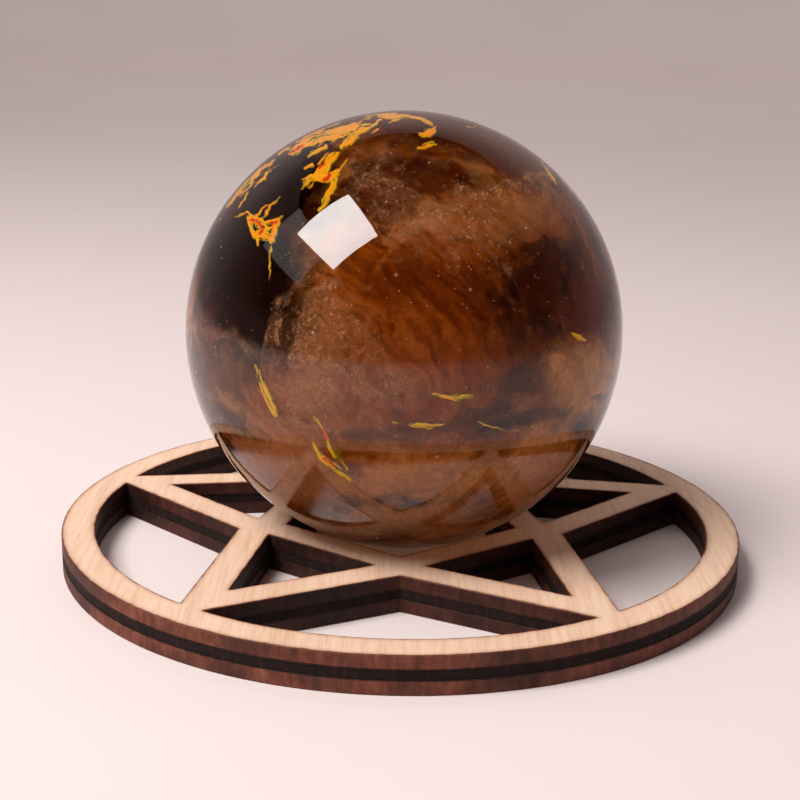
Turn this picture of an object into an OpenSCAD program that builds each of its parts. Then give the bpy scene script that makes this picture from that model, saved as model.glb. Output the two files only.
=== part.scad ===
// A solid glass ball with coloured glass melted into it, resting on a flat
// laser-cut plywood stand: a ring, a five-pointed star and a pentagon seat.
// Millimetres. +Z is up, the origin is on the table under the ball's centre,
// and one point of the star looks along +Y.

/* [Ball] */
// Diameter of the glass ball
ball_d = 60; // [57:0.5:63]
// Gap between the ball and the edges of its seat
seat_gap = 0.02; // [0.01:0.01:0.1]

/* [Stand] */
// Outside diameter of the ring
stand_d = 95; // [92:0.5:110]
// Width of the ring's band
ring_w = 4.6; // [3:0.1:6]
// Radius at which the outer edges of a star point would meet
star_tip_r = 46.7; // [44:0.1:47]
// Radius of the notches between the star points
star_notch_r = 23.7; // [22:0.1:26]
// Width of the bands that outline the star points
star_bar_w = 4.8; // [3.5:0.1:5.5]
// Distance from the centre to each side of the pentagon seat
seat_apothem = 13.5; // [11:0.1:14]
// Width of the bars round the seat
seat_bar_w = 4.8; // [4:0.1:6]

/* [Plywood] */
// Thickness of the top and bottom veneers
face_ply_t = 1.8; // [1:0.1:2.5]
// Thickness of the core veneer
core_ply_t = 1.3; // [0.8:0.1:2.5]
// Thickness of each glue film
glue_t = 0.05; // [0.05:0.01:0.1]

/* [Coloured glass] */
// Depth of the amber heart below the surface
amber_depth = 9; // [8.5:0.1:12]
// Depth of the middle of the smoky layer below the surface
smoke_depth = 5.8; // [5.6:0.1:6.4]
// Thickness of the smoky layer
smoke_t = 2; // [1:0.1:2.4]
// Depth of the middle of the milky layer below the surface
veil_depth = 3.6; // [3.5:0.1:3.8]
// Thickness of the milky layer
veil_t = 0.8; // [0.4:0.1:1]
// Depth of the flame flecks below the surface
flame_depth = 2; // [1.8:0.1:2.2]
// Half thickness of a fleck
fleck_t = 0.45; // [0.3:0.05:0.5]
// Number of flecks in the band over the top left
band_flecks = 9; // [6:1:10]
// Number of arms of the star fleck
star_fleck_arms = 5; // [4:1:6]
// Reach of the star fleck's arms
star_fleck_r = 2.1; // [1.5:0.1:2.5]

/* [Hidden] */
$fn = 96;
ball_r = ball_d / 2;
stand_r = stand_d / 2;
points = 5;
point_step = 360 / points;
lower_glue_z = face_ply_t;
core_z = lower_glue_z + glue_t;
upper_glue_z = core_z + core_ply_t;
top_ply_z = upper_glue_z + glue_t;
stand_t = top_ply_z + face_ply_t;
ball_z = stand_t + sqrt(pow(ball_r + seat_gap, 2) - pow(seat_apothem, 2));
notch = [star_notch_r * cos(point_step / 2), star_notch_r * sin(point_step / 2)];
point_half_angle = atan(notch[1] / (star_tip_r - notch[0]));
window_tip_r = star_tip_r - star_bar_w / sin(point_half_angle);
window_base_r = seat_apothem + seat_bar_w;
window_half_base = (window_tip_r - window_base_r) * tan(point_half_angle);
colour_swirl = [0.16, 0.08, 0.04];
colour_amber = [0.62, 0.34, 0.12];
colour_veil = [0.80, 0.68, 0.58];
colour_flame = [0.95, 0.62, 0.08];
colour_star = [0.93, 0.42, 0.08];
colour_tail = [0.70, 0.62, 0.08];
colour_gold = [0.90, 0.66, 0.16];
colour_wood = [0.93, 0.79, 0.64];
colour_char = [0.16, 0.09, 0.07];
colour_glue = [0.35, 0.22, 0.12];

// Turns its child to each star point in turn, the first one along +Y.
module each_point() {
    for (i = [0 : points - 1])
        rotate(90 + i * point_step)
            children();
}

// The whole star outline, cut off where the ring's band takes over.
module star_outline() {
    polygon([
        for (i = [0 : points - 1])
            for (half = [0, 1])
                let (angle = 90 + (i + half / 2) * point_step)
                let (reach = half == 0 ? star_tip_r : star_notch_r)
                    [reach * cos(angle), reach * sin(angle)]
    ]);
}

// The triangular window of one star point.
module point_window() {
    polygon([
        [window_base_r, -window_half_base],
        [window_tip_r, 0],
        [window_base_r, window_half_base]
    ]);
}

// The pentagon that the ball sits in, its sides square to the star points.
module seat_opening() {
    polygon([
        for (i = [0 : points - 1])
            let (angle = 90 + (i + 0.5) * point_step)
            let (corner_r = seat_apothem / cos(point_step / 2))
                [corner_r * cos(angle), corner_r * sin(angle)]
    ]);
}

// The outline that one pass of the laser cuts through all the layers.
module stand_outline() {
    difference() {
        circle(r = stand_r);
        difference() {
            circle(r = stand_r - ring_w);
            star_outline();
        }
        each_point()
            point_window();
        seat_opening();
    }
}

// One layer of the stand.
module layer(z, thickness) {
    translate([0, 0, z])
        linear_extrude(height = thickness)
            stand_outline();
}

// A place inside the ball, with local x pointing straight out of the glass.
module inside_ball(azimuth, elevation, depth) {
    translate([0, 0, ball_z])
        rotate([0, -elevation, azimuth])
            translate([ball_r - depth, 0, 0])
                children();
}

// A flattened strand: half sizes are [out of the glass, along it, across it].
module strand(azimuth, elevation, depth, turn, half_sizes) {
    inside_ball(azimuth, elevation, depth)
        rotate([turn, 0, 0])
            scale(half_sizes)
                sphere(r = 1, $fn = 32);
}

// A rod from the ball's centre outwards, which cuts a round spot out of a shell.
module spot(azimuth, elevation, spot_r) {
    rotate([0, -elevation, azimuth])
        rotate([0, 90, 0])
            cylinder(h = ball_r, r = spot_r);
}

// The stretch of a thin shell, this deep below the surface, that lies within its children.
module shell_patch(depth, thickness) {
    translate([0, 0, ball_z])
        intersection() {
            difference() {
                sphere(r = ball_r - depth + thickness / 2);
                sphere(r = ball_r - depth - thickness / 2);
            }
            union()
                children();
        }
}

// The clear glass, solid but for the places that the coloured glass fills.
module ball() {
    color([0.60, 0.36, 0.18, 0.35])
        difference() {
            translate([0, 0, ball_z])
                sphere(r = ball_r);
            smoke_swirls();
            amber_cloud();
            milky_veils();
            flame_band();
            flame_star();
            flame_tails();
            gold_threads();
        }
}

module smoke_swirls() {
    color(colour_swirl) {
        shell_patch(smoke_depth, smoke_t) {
            spot(214, 12, 8);
            spot(205, 32, 6.5);
        }
        shell_patch(smoke_depth, smoke_t) {
            spot(312, 22, 6.5);
            spot(303, 8, 4.5);
        }
        shell_patch(smoke_depth, smoke_t) {
            spot(182, 62, 6);
            spot(240, 78, 5.5);
        }
        shell_patch(smoke_depth, smoke_t) {
            spot(84, -4, 8);
            spot(100, 18, 6);
        }
    }
}

module amber_cloud() {
    color(colour_amber)
        translate([0, 0, ball_z])
            rotate([0, 14, 0])
                scale([1, 0.98, 0.95])
                    sphere(r = ball_r - amber_depth, $fn = 64);
}

module milky_veils() {
    color(colour_veil) {
        shell_patch(veil_depth, veil_t) {
            spot(247, 20, 3);
            spot(248, 11, 2.6);
            spot(249, 3, 2);
        }
        shell_patch(veil_depth, veil_t) {
            spot(276, 44, 5.5);
            spot(298, 47, 5);
            spot(322, 45, 4.5);
        }
        shell_patch(veil_depth, veil_t) {
            spot(262, -24, 6);
            spot(282, -28, 6);
        }
        shell_patch(veil_depth, veil_t) {
            spot(40, 22, 7);
            spot(58, 10, 5);
        }
    }
}

module flame_band() {
    color(colour_flame)
        for (i = [0 : band_flecks - 1]) {
            along = i / (band_flecks - 1);
            side = (i % 3 - 1) * 5;
            strand(184 + 30 * along - 3 * side, 30 + 46 * along + side, flame_depth, 62 - 30 * along,
                [fleck_t, 1.6 + 0.2 * cos(200 * i), 0.6 + 0.1 * sin(130 * i)]);
        }
}

module flame_star() {
    color(colour_star)
        inside_ball(216, 36, flame_depth)
            rotate([0, 90, 0])
                linear_extrude(height = 2 * fleck_t, center = true)
                    polygon([
                        for (i = [0 : 2 * star_fleck_arms - 1])
                            let (reach = i % 2 == 0 ? star_fleck_r : 0.45 * star_fleck_r)
                                reach * [cos(i * 180 / star_fleck_arms), sin(i * 180 / star_fleck_arms)]
                    ]);
}

module flame_tails() {
    color(colour_tail) {
        strand(230, 0, flame_depth, 72, [fleck_t, 2.4, 0.6]);
        strand(235, -11, flame_depth, 60, [fleck_t, 2.1, 0.7]);
        strand(246, -14, flame_depth, 68, [fleck_t, 2.2, 0.7]);
        strand(252, -26, flame_depth, 50, [fleck_t, 3.0, 0.8]);
    }
}

module gold_threads() {
    color(colour_gold) {
        strand(284, -4, flame_depth, 8, [fleck_t, 2.8, 0.6]);
        strand(274, -13, flame_depth, 4, [fleck_t, 3.4, 0.4]);
        strand(298, -12, flame_depth, -14, [fleck_t, 3.0, 0.4]);
        strand(318, 4, flame_depth, -20, [fleck_t, 2.2, 0.6]);
    }
}

module top_veneer() {
    color(colour_wood)
        layer(top_ply_z, face_ply_t);
}

module upper_glue_film() {
    color(colour_glue)
        layer(upper_glue_z, glue_t);
}

module core_veneer() {
    color(colour_char)
        layer(core_z, core_ply_t);
}

module lower_glue_film() {
    color(colour_glue)
        layer(lower_glue_z, glue_t);
}

module bottom_veneer() {
    color(colour_wood)
        layer(0, face_ply_t);
}

ball();
smoke_swirls();
amber_cloud();
milky_veils();
flame_band();
flame_star();
flame_tails();
gold_threads();
top_veneer();
upper_glue_film();
core_veneer();
lower_glue_film();
bottom_veneer();
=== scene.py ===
import math

import bpy
import numpy as np
from mathutils import Matrix, Vector
from mathutils.geometry import delaunay_2d_cdt


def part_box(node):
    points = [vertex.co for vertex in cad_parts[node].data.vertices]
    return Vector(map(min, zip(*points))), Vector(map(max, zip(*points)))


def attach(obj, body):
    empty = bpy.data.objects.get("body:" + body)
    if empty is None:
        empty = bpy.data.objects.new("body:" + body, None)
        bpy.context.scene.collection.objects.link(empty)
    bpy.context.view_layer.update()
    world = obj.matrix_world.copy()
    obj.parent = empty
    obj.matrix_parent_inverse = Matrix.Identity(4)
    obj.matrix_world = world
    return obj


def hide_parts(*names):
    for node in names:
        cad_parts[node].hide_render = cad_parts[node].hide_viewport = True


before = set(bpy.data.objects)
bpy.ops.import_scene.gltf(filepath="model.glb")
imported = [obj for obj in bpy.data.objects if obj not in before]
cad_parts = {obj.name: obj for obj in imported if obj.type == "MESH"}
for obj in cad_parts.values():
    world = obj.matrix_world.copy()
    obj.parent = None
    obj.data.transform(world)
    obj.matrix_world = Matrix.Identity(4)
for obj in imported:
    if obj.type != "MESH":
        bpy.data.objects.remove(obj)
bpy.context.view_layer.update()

# ---- sizes, in metres
MM = 0.001
ball_low, ball_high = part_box("ball")
BALL_R = (ball_high.z - ball_low.z) / 2
BALL_Z = (ball_high.z + ball_low.z) / 2
BALL_CENTRE = np.array([0, 0, BALL_Z])

# Radii of the shells that the coloured glass lies on
HEART_R = 0.70 * BALL_R
SMOKE_R = 24.2 * MM
VEIL_R = 26.4 * MM
FLAME_R = 28.0 * MM
# Faces along one side of each shell's inflated cube
HEART_STEPS = 170
SMOKE_STEPS = 120
VEIL_STEPS = 200
GLASS_STEPS = 96

CAMERA_AT = np.array([-0.4, -202.7, 77.4]) * MM
CAMERA_AIM = np.array([-0.4, 0, 21.85]) * MM
CAMERA_LENS_MM = 67.4
CAMERA_ROLL = math.radians(1)
GLASS_IOR = 1.5


# ---- small maths
def unit(v):
    v = np.asarray(v, float)
    return v / np.linalg.norm(v, axis=-1, keepdims=True)


def srgb(red, green, blue):
    """A colour given as a screen shows it, 0 to 255, as linear light."""
    return np.array([(c / 255 / 12.92) if c <= 10 else ((c / 255 + 0.055) / 1.055) ** 2.4
                     for c in (red, green, blue)])


def mix(a, b, share):
    return a + (b - a) * share


def smooth(low, high, value):
    t = np.clip((value - low) / (high - low), 0, 1)
    return t * t * (3 - 2 * t)


NOISE_TABLE = 4096
OCTAVE_SHIFT = 17.3
PRIMES = (73856093, 19349663, 83492791)
noise_random = np.random.default_rng(11)
GRADIENTS = unit(noise_random.normal(size=(NOISE_TABLE, 3)))


def noise(points):
    """Smooth gradient noise of about -1 to 1 at each 3-D point."""
    cell = np.floor(points)
    part = points - cell
    fade = part ** 3 * (part * (part * 6 - 15) + 10)
    key = cell.astype(np.int64) * PRIMES
    total = np.zeros(len(points))
    for corner in np.ndindex(2, 2, 2):
        k = key + np.multiply(corner, PRIMES)
        slope = GRADIENTS[(k[:, 0] ^ k[:, 1] ^ k[:, 2]) & (NOISE_TABLE - 1)]
        away = part - corner
        wx, wy, wz = (fade[:, a] if corner[a] else 1 - fade[:, a] for a in range(3))
        total += wx * wy * wz * np.einsum("ij,ij->i", away, slope)
    return 1.6 * total


def fractal(points, octaves=4, gain=0.5):
    """Noise with finer and weaker noise added to it, octave by octave."""
    total = np.zeros(len(points))
    size = 1.0
    for octave in range(octaves):
        total += size * noise(points * 2 ** octave + OCTAVE_SHIFT * octave)
        size *= gain
    return total


def drifts(points, scale, shifts, octaves, gain=0.5):
    """Three noises side by side, which push places about."""
    return np.stack([fractal(points * scale + shift, octaves, gain) for shift in shifts], 1)


# ---- faces of the ball
# How fast x and y run on beyond the rim, in ball radii a radian
PAST_RIM = 1.5


class Face:
    """The ball as seen from one side, from as far away as the camera is. A place on a face is (x, y), in ball
    radii right of its middle and up from it. Step by step from the middle to the rim, self.table is how far
    out a line of sight meets the glass, self.hit how far round the ball, and self.bent its angle inside."""

    def __init__(self, towards_eye):
        self.eye = unit(towards_eye)
        self.right = unit(np.cross(-self.eye, [0, 0, 1]))
        self.up = np.cross(self.right, -self.eye)
        far = np.linalg.norm(CAMERA_AT - BALL_CENTRE)
        self.table = np.linspace(0, 0.999, 400)
        view = np.arctan(self.table * BALL_R / math.sqrt(far ** 2 - BALL_R ** 2))
        hit = np.arcsin(np.clip(far / BALL_R * np.sin(view), 0, 1))
        self.hit = hit - view
        self.bent = np.arcsin(np.sin(hit) / GLASS_IOR)

    def angles(self, shell_r):
        """How far round a shell, from the side that the eye is on, each step of self.table shows."""
        sine = BALL_R / shell_r * np.sin(self.bent)
        return self.hit - self.bent + np.arcsin(np.clip(sine, 0, 1))

    def direction(self, x, y, shell_r):
        """The directions, from the ball's centre, of what shows at (x, y) on a shell inside the ball."""
        x, y = np.asarray(x, float), np.asarray(y, float)
        out = np.hypot(x, y)
        angle = np.interp(out, self.table, self.angles(shell_r))
        safe = np.maximum(out, 1e-9)
        sideways = (x / safe)[..., None] * self.right + (y / safe)[..., None] * self.up
        return np.cos(angle)[..., None] * self.eye + np.sin(angle)[..., None] * sideways

    def place(self, directions, shell_r):
        """The (x, y) at which each direction shows; past the rim, x and y run on beyond 1."""
        angles = self.angles(shell_r)
        angle = np.arccos(np.clip(directions @ self.eye, -1, 1))
        out = np.interp(angle, angles, self.table) + PAST_RIM * np.maximum(angle - angles[-1], 0)
        across, upward = directions @ self.right, directions @ self.up
        scale = out / np.maximum(np.hypot(across, upward), 1e-9)
        return across * scale, upward * scale


def face_at(azimuth, elevation):
    a, e = math.radians(azimuth), math.radians(elevation)
    return Face([math.cos(a) * math.cos(e), math.sin(a) * math.cos(e), math.sin(e)])


FRONT = Face(CAMERA_AT - BALL_CENTRE)
RIGHT_BACK = face_at(25, 12)
LEFT_BACK = face_at(140, 15)
# Further than any place is from a line or an outline
FAR = 99.0


def stroke(x, y, route, widths):
    """How each place lies to a tapering line: how near (1 on the line, 0 at its width, negative beyond),
    how far to the left of the way that the route runs, and how far along it."""
    near = np.full(np.shape(x), -FAR)
    side, run = np.zeros(np.shape(x)), np.zeros(np.shape(x))
    route = np.asarray(route, float)
    widths = np.interp(np.linspace(0, 1, len(route)), np.linspace(0, 1, len(widths)), widths)
    before = 0.0
    for a, b, wide_a, wide_b in zip(route, route[1:], widths, widths[1:]):
        length = max(np.hypot(*(b - a)), 1e-6)
        along = (b - a) / length
        dx, dy = x - a[0], y - a[1]
        forward = np.clip(dx * along[0] + dy * along[1], 0, length)
        away = np.hypot(dx - forward * along[0], dy - forward * along[1])
        value = 1 - away / mix(wide_a, wide_b, forward / length)
        better = value > near
        near = np.where(better, value, near)
        side = np.where(better, along[0] * dy - along[1] * dx, side)
        run = np.where(better, before + forward, run)
        before += length
    return near, side, run


def blob(x, y, at, size, turn=0.0):
    """1 at the middle of an oval patch, 0 at its edge, negative beyond."""
    a = math.radians(turn)
    dx, dy = x - at[0], y - at[1]
    along = (dx * math.cos(a) + dy * math.sin(a)) / size[0]
    across = (dy * math.cos(a) - dx * math.sin(a)) / size[1]
    return 1 - np.hypot(along, across)


# ---- meshes
def mesh_piece(name, vertices, faces, smooth_faces=True):
    mesh = bpy.data.meshes.new(name)
    mesh.from_pydata([tuple(v) for v in vertices], [], [tuple(f) for f in faces])
    mesh.validate()
    mesh.polygons.foreach_set("use_smooth", [smooth_faces] * len(mesh.polygons))
    mesh.update()
    piece = bpy.data.objects.new(name, mesh)
    bpy.context.scene.collection.objects.link(piece)
    return piece


def paint(piece, name, values):
    """Stores a colour (rows of 3 or 4) or a number for every vertex."""
    values = np.asarray(values, float)
    if values.ndim == 1:
        layer = piece.data.attributes.new(name, "FLOAT", "POINT")
        layer.data.foreach_set("value", values.astype(np.float32))
        return
    if values.shape[1] == 3:
        values = np.column_stack([values, np.ones(len(values))])
    layer = piece.data.attributes.new(name, "FLOAT_COLOR", "POINT")
    layer.data.foreach_set("color", values.astype(np.float32).ravel())


def grid_quads(rows, columns):
    """Four-cornered faces over rows of points that are numbered row by row."""
    i, j = np.meshgrid(np.arange(rows - 1), np.arange(columns - 1), indexing="ij")
    corner = (i * columns + j).ravel()
    return np.stack([corner, corner + columns, corner + columns + 1, corner + 1], 1)


def shell_grid(steps):
    """Directions and four-cornered faces that cover a sphere evenly, like an inflated cube."""
    line = np.tan(np.linspace(-math.pi / 4, math.pi / 4, steps + 1))
    u, v = np.meshgrid(line, line, indexing="ij")
    one = np.ones_like(u)
    sides = [(one, u, v), (-one, -u, v), (-u, one, v), (u, -one, v), (-v, u, one), (v, u, -one)]
    points = np.concatenate([unit(np.stack(s, -1).reshape(-1, 3)) for s in sides])
    n = steps + 1
    quads = grid_quads(n, n)
    quads = np.concatenate([quads + k * n * n for k in range(len(sides))])
    _, first, merged = np.unique(np.round(points * 1e5).astype(np.int64), axis=0,
                                 return_index=True, return_inverse=True)
    return points[first], merged.reshape(-1)[quads]


def keep_faces(vertices, faces, wanted, *values):
    """Drops the faces that aren't wanted, and then the vertices that nothing uses."""
    faces = faces[wanted]
    used, index = np.unique(faces, return_inverse=True)
    return (vertices[used], index.reshape(faces.shape), *(v[used] for v in values))


# ---- materials
class Material:
    """A thin wrapper that keeps the node graphs below short."""

    def __init__(self, name, **inputs):
        self.material = bpy.data.materials.new(name)
        self.material.use_nodes = True
        self.nodes = self.material.node_tree.nodes
        self.links = self.material.node_tree.links
        self.shader = self.nodes["Principled BSDF"]
        self.output = self.nodes["Material Output"]
        for key, value in inputs.items():
            self.shader.inputs[key.replace("_", " ")].default_value = value

    def node(self, kind, inputs=None, **settings):
        node = self.nodes.new("ShaderNode" + kind)
        for key, value in settings.items():
            setattr(node, key, value)
        for key, value in (inputs or {}).items():
            if isinstance(value, bpy.types.NodeSocket):
                self.links.new(value, node.inputs[key])
            else:
                node.inputs[key].default_value = value
        return node

    def set(self, key, socket):
        self.links.new(socket, self.shader.inputs[key])

    def attribute(self, name, output="Color"):
        return self.node("Attribute", attribute_name=name).outputs[output]

    def place(self, scale=(1, 1, 1), turn=(0, 0, 0)):
        here = self.node("TexCoord").outputs["Object"]
        return self.node("Mapping", {"Vector": here, "Scale": scale, "Rotation": turn}).outputs["Vector"]

    def noise(self, scale, vector=None, detail=4.0, roughness=0.55, distortion=0.0):
        return self.node("TexNoise", {
            "Vector": vector or self.place(), "Scale": scale, "Detail": detail,
            "Roughness": roughness, "Distortion": distortion}).outputs["Fac"]

    def ramp(self, value, stops):
        node = self.node("ValToRGB", {"Fac": value})
        elements = node.color_ramp.elements
        while len(elements) < len(stops):
            elements.new(0.5)
        for element, (at, colour) in zip(elements, stops):
            element.position = at
            element.color = (*colour, 1) if len(colour) == 3 else colour
        return node.outputs["Color"]

    def grey(self, value, stops):
        return self.ramp(value, [(at, (level, level, level)) for at, level in stops])

    def blend(self, kind, share, a, b):
        """Colour a mixed with colour b. Inputs 0, 6 and 7 are the Mix node's share and its two colours."""
        inputs = {0: share}
        for at, colour in ((6, a), (7, b)):
            inputs[at] = colour if isinstance(colour, bpy.types.NodeSocket) else (*colour, 1)
        return self.node("Mix", inputs, data_type="RGBA", blend_type=kind).outputs[2]

    def maths(self, operation, a, b=0.0, c=0.0, clamp=False):
        return self.node("Math", {0: a, 1: b, 2: c}, operation=operation, use_clamp=clamp).outputs[0]

    def bump(self, height, strength, distance):
        inputs = {"Height": height, "Strength": strength, "Distance": distance}
        return self.node("Bump", inputs).outputs["Normal"]


# ---- colours
SMOKE = srgb(30, 12, 7)
BLACK_BROWN = srgb(52, 24, 14)
DARK_BROWN = srgb(92, 46, 24)
REDDISH = srgb(126, 52, 20)
DEEP_AMBER = srgb(120, 52, 8)
AMBER = srgb(168, 90, 16)
WARM_AMBER = srgb(178, 98, 38)
GOLD_HAZE_AND_PAINTED_LIGHT = srgb(250, 190, 116)
BEIGE = srgb(216, 152, 108)
TAN = srgb(186, 116, 62)
CLEAR_AMBER_PAINTED_LIGHT = srgb(246, 172, 100)

# Patches of the ball's heart on its front face: (place, half sizes, turn, colour, strength, raggedness)
HEART_PATCHES = [
    ((0.10, 0.00), (0.70, 0.66), -20, AMBER, 0.95, 0.25),
    ((0.22, 0.22), (0.34, 0.22), -30, DEEP_AMBER, 0.8, 0.5),
    ((-0.06, 0.20), (0.20, 0.18), 30, DEEP_AMBER, 0.8, 0.5),
    ((0.10, -0.12), (0.34, 0.16), -35, WARM_AMBER, 0.5, 0.8),
    ((-0.36, -0.04), (0.24, 0.30), 15, TAN, 0.9, 0.5),
    ((-0.10, -0.24), (0.40, 0.10), -6, TAN, 0.6, 0.6),
    ((-0.76, 0.30), (0.34, 0.52), 12, SMOKE, 1.0, 0.25),
    ((-0.60, 0.68), (0.30, 0.28), 40, SMOKE, 1.0, 0.25),
    ((0.05, 0.95), (0.80, 0.13), 0, DARK_BROWN, 0.9, 0.3),
    ((0.42, 0.82), (0.46, 0.17), -24, DARK_BROWN, 0.9, 0.5),
    ((0.24, 0.69), (0.13, 0.09), -10, DEEP_AMBER, 0.9, 0.4),
    ((0.25, 0.53), (0.07, 0.05), 20, REDDISH, 0.9, 0.5),
    ((-0.08, 0.66), (0.26, 0.24), 60, DARK_BROWN, 0.95, 0.4),
    ((0.05, 0.47), (0.24, 0.10), 12, BEIGE, 0.7, 0.6),
    ((0.30, 0.42), (0.40, 0.13), 14, WARM_AMBER, 0.8, 0.6),
    ((0.48, 0.54), (0.38, 0.17), -10, TAN, 0.95, 0.5),
    ((0.60, 0.24), (0.26, 0.26), -30, BLACK_BROWN, 0.85, 0.7),
    ((0.50, 0.06), (0.14, 0.20), 20, BLACK_BROWN, 0.6, 0.8),
    ((0.84, 0.14), (0.14, 0.26), -8, REDDISH, 0.9, 0.6),
    ((0.78, -0.02), (0.10, 0.05), 0, WARM_AMBER, 0.9, 0.6),
    # Painted light: this golden patch stands in for light that the ball gathers and sends through its heart
    # at the lower right.
    ((0.80, -0.20), (0.22, 0.20), -10, GOLD_HAZE_AND_PAINTED_LIGHT, 1.0, 0.4),
    ((0.55, -0.24), (0.16, 0.12), -10, DARK_BROWN, 0.7, 0.6),
    ((-0.86, 0.02), (0.12, 0.10), 0, REDDISH, 0.9, 0.5),
    ((-0.82, -0.22), (0.24, 0.18), 0, DARK_BROWN, 0.8, 0.4),
    ((-0.40, -0.32), (0.34, 0.14), -20, TAN, 0.9, 0.5),
    ((0.20, -0.44), (0.75, 0.06), 3, DARK_BROWN, 0.6, 0.6),
    # The four patches at the bottom are partly the clearer amber's own colour and partly painted light,
    # brightened to stand in for the lit wood and floor that show through the ball's clearer bottom.
    ((-0.50, -0.62), (0.36, 0.20), -30, BEIGE, 0.8, 0.4),
    ((0.10, -0.66), (0.62, 0.12), 4, CLEAR_AMBER_PAINTED_LIGHT, 0.8, 0.4),
    ((0.00, -0.86), (0.55, 0.12), 4, CLEAR_AMBER_PAINTED_LIGHT, 0.9, 0.4),
    ((0.60, -0.60), (0.34, 0.20), 35, CLEAR_AMBER_PAINTED_LIGHT, 0.9, 0.4),
]
# Which way the heart's fibres run, in degrees, and how much their curve bends away from it
FIBRE_TURN = -50
FIBRE_BEND = 0.35


def heart_paint(directions):
    """The colour of the ball's heart, painted light included in its patches at the bottom and the lower
    right, with how fibrous it is as a fourth channel, and how its fibres flow.
    """
    drift = drifts(directions, 2.2, (0, 31, 57), 5)
    warped = directions + 0.25 * drift
    cloud = fractal(warped * 1.6 + 5, 5, 0.6)
    haze = fractal(warped * [2.0, 2.0, 3.4] + 40, 5, 0.6)
    colour = mix(DARK_BROWN, AMBER, smooth(-0.6, 0.5, cloud)[:, None])
    colour = mix(colour, SMOKE, 0.9 * smooth(0.0, 0.9, haze)[:, None])
    colour = mix(colour, GOLD_HAZE_AND_PAINTED_LIGHT, 0.4 * smooth(0.0, 0.8, -haze)[:, None])
    x, y = FRONT.place(directions, HEART_R)
    x = x + 0.06 * drift[:, 0]
    y = y + 0.06 * drift[:, 1]
    ragged = fractal(warped * 6, 5, 0.6)
    for at, size, turn, tone, strength, roughness in HEART_PATCHES:
        share = strength * smooth(0, 0.6, blob(x, y, at, size, turn) + 0.55 * roughness * ragged)
        colour = mix(colour, tone, share[:, None])
    a = math.radians(FIBRE_TURN)
    along = x * math.cos(a) + y * math.sin(a)
    across = y * math.cos(a) - x * math.sin(a) + FIBRE_BEND * along ** 2
    flow = np.stack([along * 4, across * 24 + 0.5 * ragged, directions[:, 1] * 3], 1) + 40
    mottle = 1 + 0.25 * fractal(warped * 14, 3)
    fibrous = 0.35 + 0.6 * smooth(-0.1, 0.4, blob(x, y, (0.10, 0.08), (0.85, 0.60)))
    return np.column_stack([np.clip(colour * mottle[:, None], 0.0005, 1), fibrous]), flow


def make_heart():
    directions, faces = shell_grid(HEART_STEPS)
    swell = 1 + 0.012 * fractal(directions * 3, 3)
    heart = mesh_piece("amber_heart", BALL_CENTRE + directions * HEART_R * swell[:, None], faces)
    tone, flow = heart_paint(directions)
    paint(heart, "tone", tone)
    paint(heart, "flow", flow)
    m = Material("amber_glass_heart", Roughness=0.55, Specular_IOR_Level=0.0)
    tone = m.attribute("tone")
    grain = m.noise(2600, detail=3)
    fibres = m.noise(1.0, m.attribute("flow", "Vector"), detail=5, roughness=0.65, distortion=0.5)
    tone = m.blend("MULTIPLY", m.attribute("tone", "Alpha"), tone, m.ramp(fibres, [
        (0.28, srgb(150, 120, 90)), (0.50, srgb(222, 205, 185)), (0.72, (1, 1, 1))]))
    tone = m.blend("MULTIPLY", 0.4, tone, m.grey(grain, [(0.3, 0.6), (0.7, 1.0)]))
    m.set("Base Color", tone)
    m.set("Normal", m.bump(fibres, 0.3, 0.0003))
    heart.data.materials.append(m.material)
    return heart


# ---- smoke
# Patches of smoke on the front face: (place, half sizes, turn, strength)
SMOKE_PATCHES = [
    ((-0.70, 0.22), (0.28, 0.44), 6, 1.0),
    ((-0.52, 0.62), (0.26, 0.16), 50, 0.9),
    ((0.60, 0.24), (0.20, 0.24), -30, 0.40),
    ((0.42, 0.06), (0.12, 0.26), 20, 0.25),
    ((0.20, 0.72), (0.34, 0.07), -14, 0.6),
    ((0.55, -0.42), (0.32, 0.04), 12, 0.7),
    ((0.90, -0.292), (0.05, 0.02), 0, 1.0),
    ((-0.70, -0.12), (0.14, 0.06), 5, 0.8),
]
SMOKE_STRENGTH = 0.92
# Between these distances from its middle, the front face gives way to the invented pattern of the back
BEYOND_FACE = (0.9, 1.3)


def make_smoke():
    directions, faces = shell_grid(SMOKE_STEPS)
    drift = drifts(directions, 2.5, (7, 23, 91), 4)
    warped = directions + 0.25 * drift
    x, y = FRONT.place(directions, SMOKE_R)
    ragged = fractal(warped * 6 + 3, 4)
    invented = smooth(*BEYOND_FACE, np.hypot(x, y))
    cover = 0.75 * smooth(0.0, 0.7, fractal(warped * 1.8 + 60, 5, 0.6)) * invented
    for at, size, turn, strength in SMOKE_PATCHES:
        near = blob(x + 0.03 * drift[:, 0], y + 0.03 * drift[:, 1], at, size, turn)
        cover = np.maximum(cover, strength * smooth(0, 0.5, near + 0.3 * ragged))
    cover = cover * SMOKE_STRENGTH
    warmth = smooth(-0.2, 0.4, fractal(warped * 5 + 20, 4))
    tone = mix(SMOKE, REDDISH, (warmth * smooth(0.75, 0.1, cover))[:, None])
    shown = cover[faces].max(1) > 0.01
    points, faces, tone, cover = keep_faces(directions * SMOKE_R, faces, shown, tone, cover)
    smoke = mesh_piece("smoke_wisps", BALL_CENTRE + points, faces)
    paint(smoke, "tone", tone)
    paint(smoke, "cover", cover)
    m = Material("smoke_glass_wisps", Roughness=0.5, Specular_IOR_Level=0.0)
    m.set("Base Color", m.attribute("tone"))
    streaks = m.noise(700, m.place((1, 0.3, 0.7), (0.5, 0.2, 0.9)), detail=5, distortion=0.6)
    cover = m.maths("MULTIPLY", m.attribute("cover", "Fac"), m.grey(streaks, [(0.25, 0.6), (0.6, 1.0)]))
    m.set("Alpha", cover)
    smoke.data.materials.append(m.material)
    return smoke


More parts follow.
